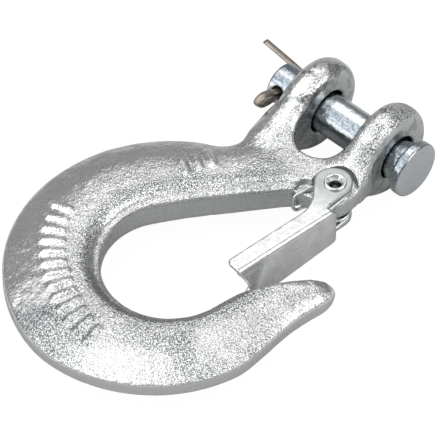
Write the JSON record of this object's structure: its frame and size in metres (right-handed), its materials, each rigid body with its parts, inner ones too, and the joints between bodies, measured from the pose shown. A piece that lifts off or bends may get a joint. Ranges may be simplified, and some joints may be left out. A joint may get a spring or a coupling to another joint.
{
  "type": "safety chain hook",
  "caption": "Forged clevis slip hook with a spring-loaded safety latch, a headed clevis pin and a split cotter pin.",
  "frame": {"origin": "middle of the clevis slot, on the axis of the two pin bores, where the chain's end link pulls", "axes": "+X out of the clevis along the hook's length, away from the bowl; +Y along the clevis pin, from its head to its cotter; +Z square to the flat of the hook"},
  "size_m": [0.1207, 0.0788, 0.0256],
  "materials": {
    "forged_zinc": "zinc plated forging, fine pitted grain",
    "turned_zinc": "zinc plated, turned, satin bright",
    "pressed_zinc": "zinc plated sheet, smooth",
    "rivet_zinc": "zinc plated, bright, rolled over",
    "spring_wire": "bright drawn wire",
    "cotter_steel": "plain steel, dull brown tarnish"
  },
  "bodies": {
    "hook": {"hook_body": "forged_zinc", "latch_spring": "spring_wire"},
    "pin": {"clevis_pin": "turned_zinc", "cotter_pin": "cotter_steel"},
    "latch": {"safety_latch": "pressed_zinc", "latch_rivet": "rivet_zinc"}
  },
  "joints": [
    {"name": "latch_hinge", "type": "hinge", "parent": "hook", "child": "latch", "pos_m": [-0.02135, -0.0136, 0], "axis": [0, 0, 1], "range_deg": [-47, 0], "stiffness_Nm_per_rad": 0.075, "springref_deg": 31.51, "deforming": ["latch_spring"]},
    {"name": "pin_spin", "type": "hinge", "parent": "hook", "child": "pin", "pos_m": [0, 0, -0.00045], "axis": [0, 1, 0], "continuous": true}
  ]
}
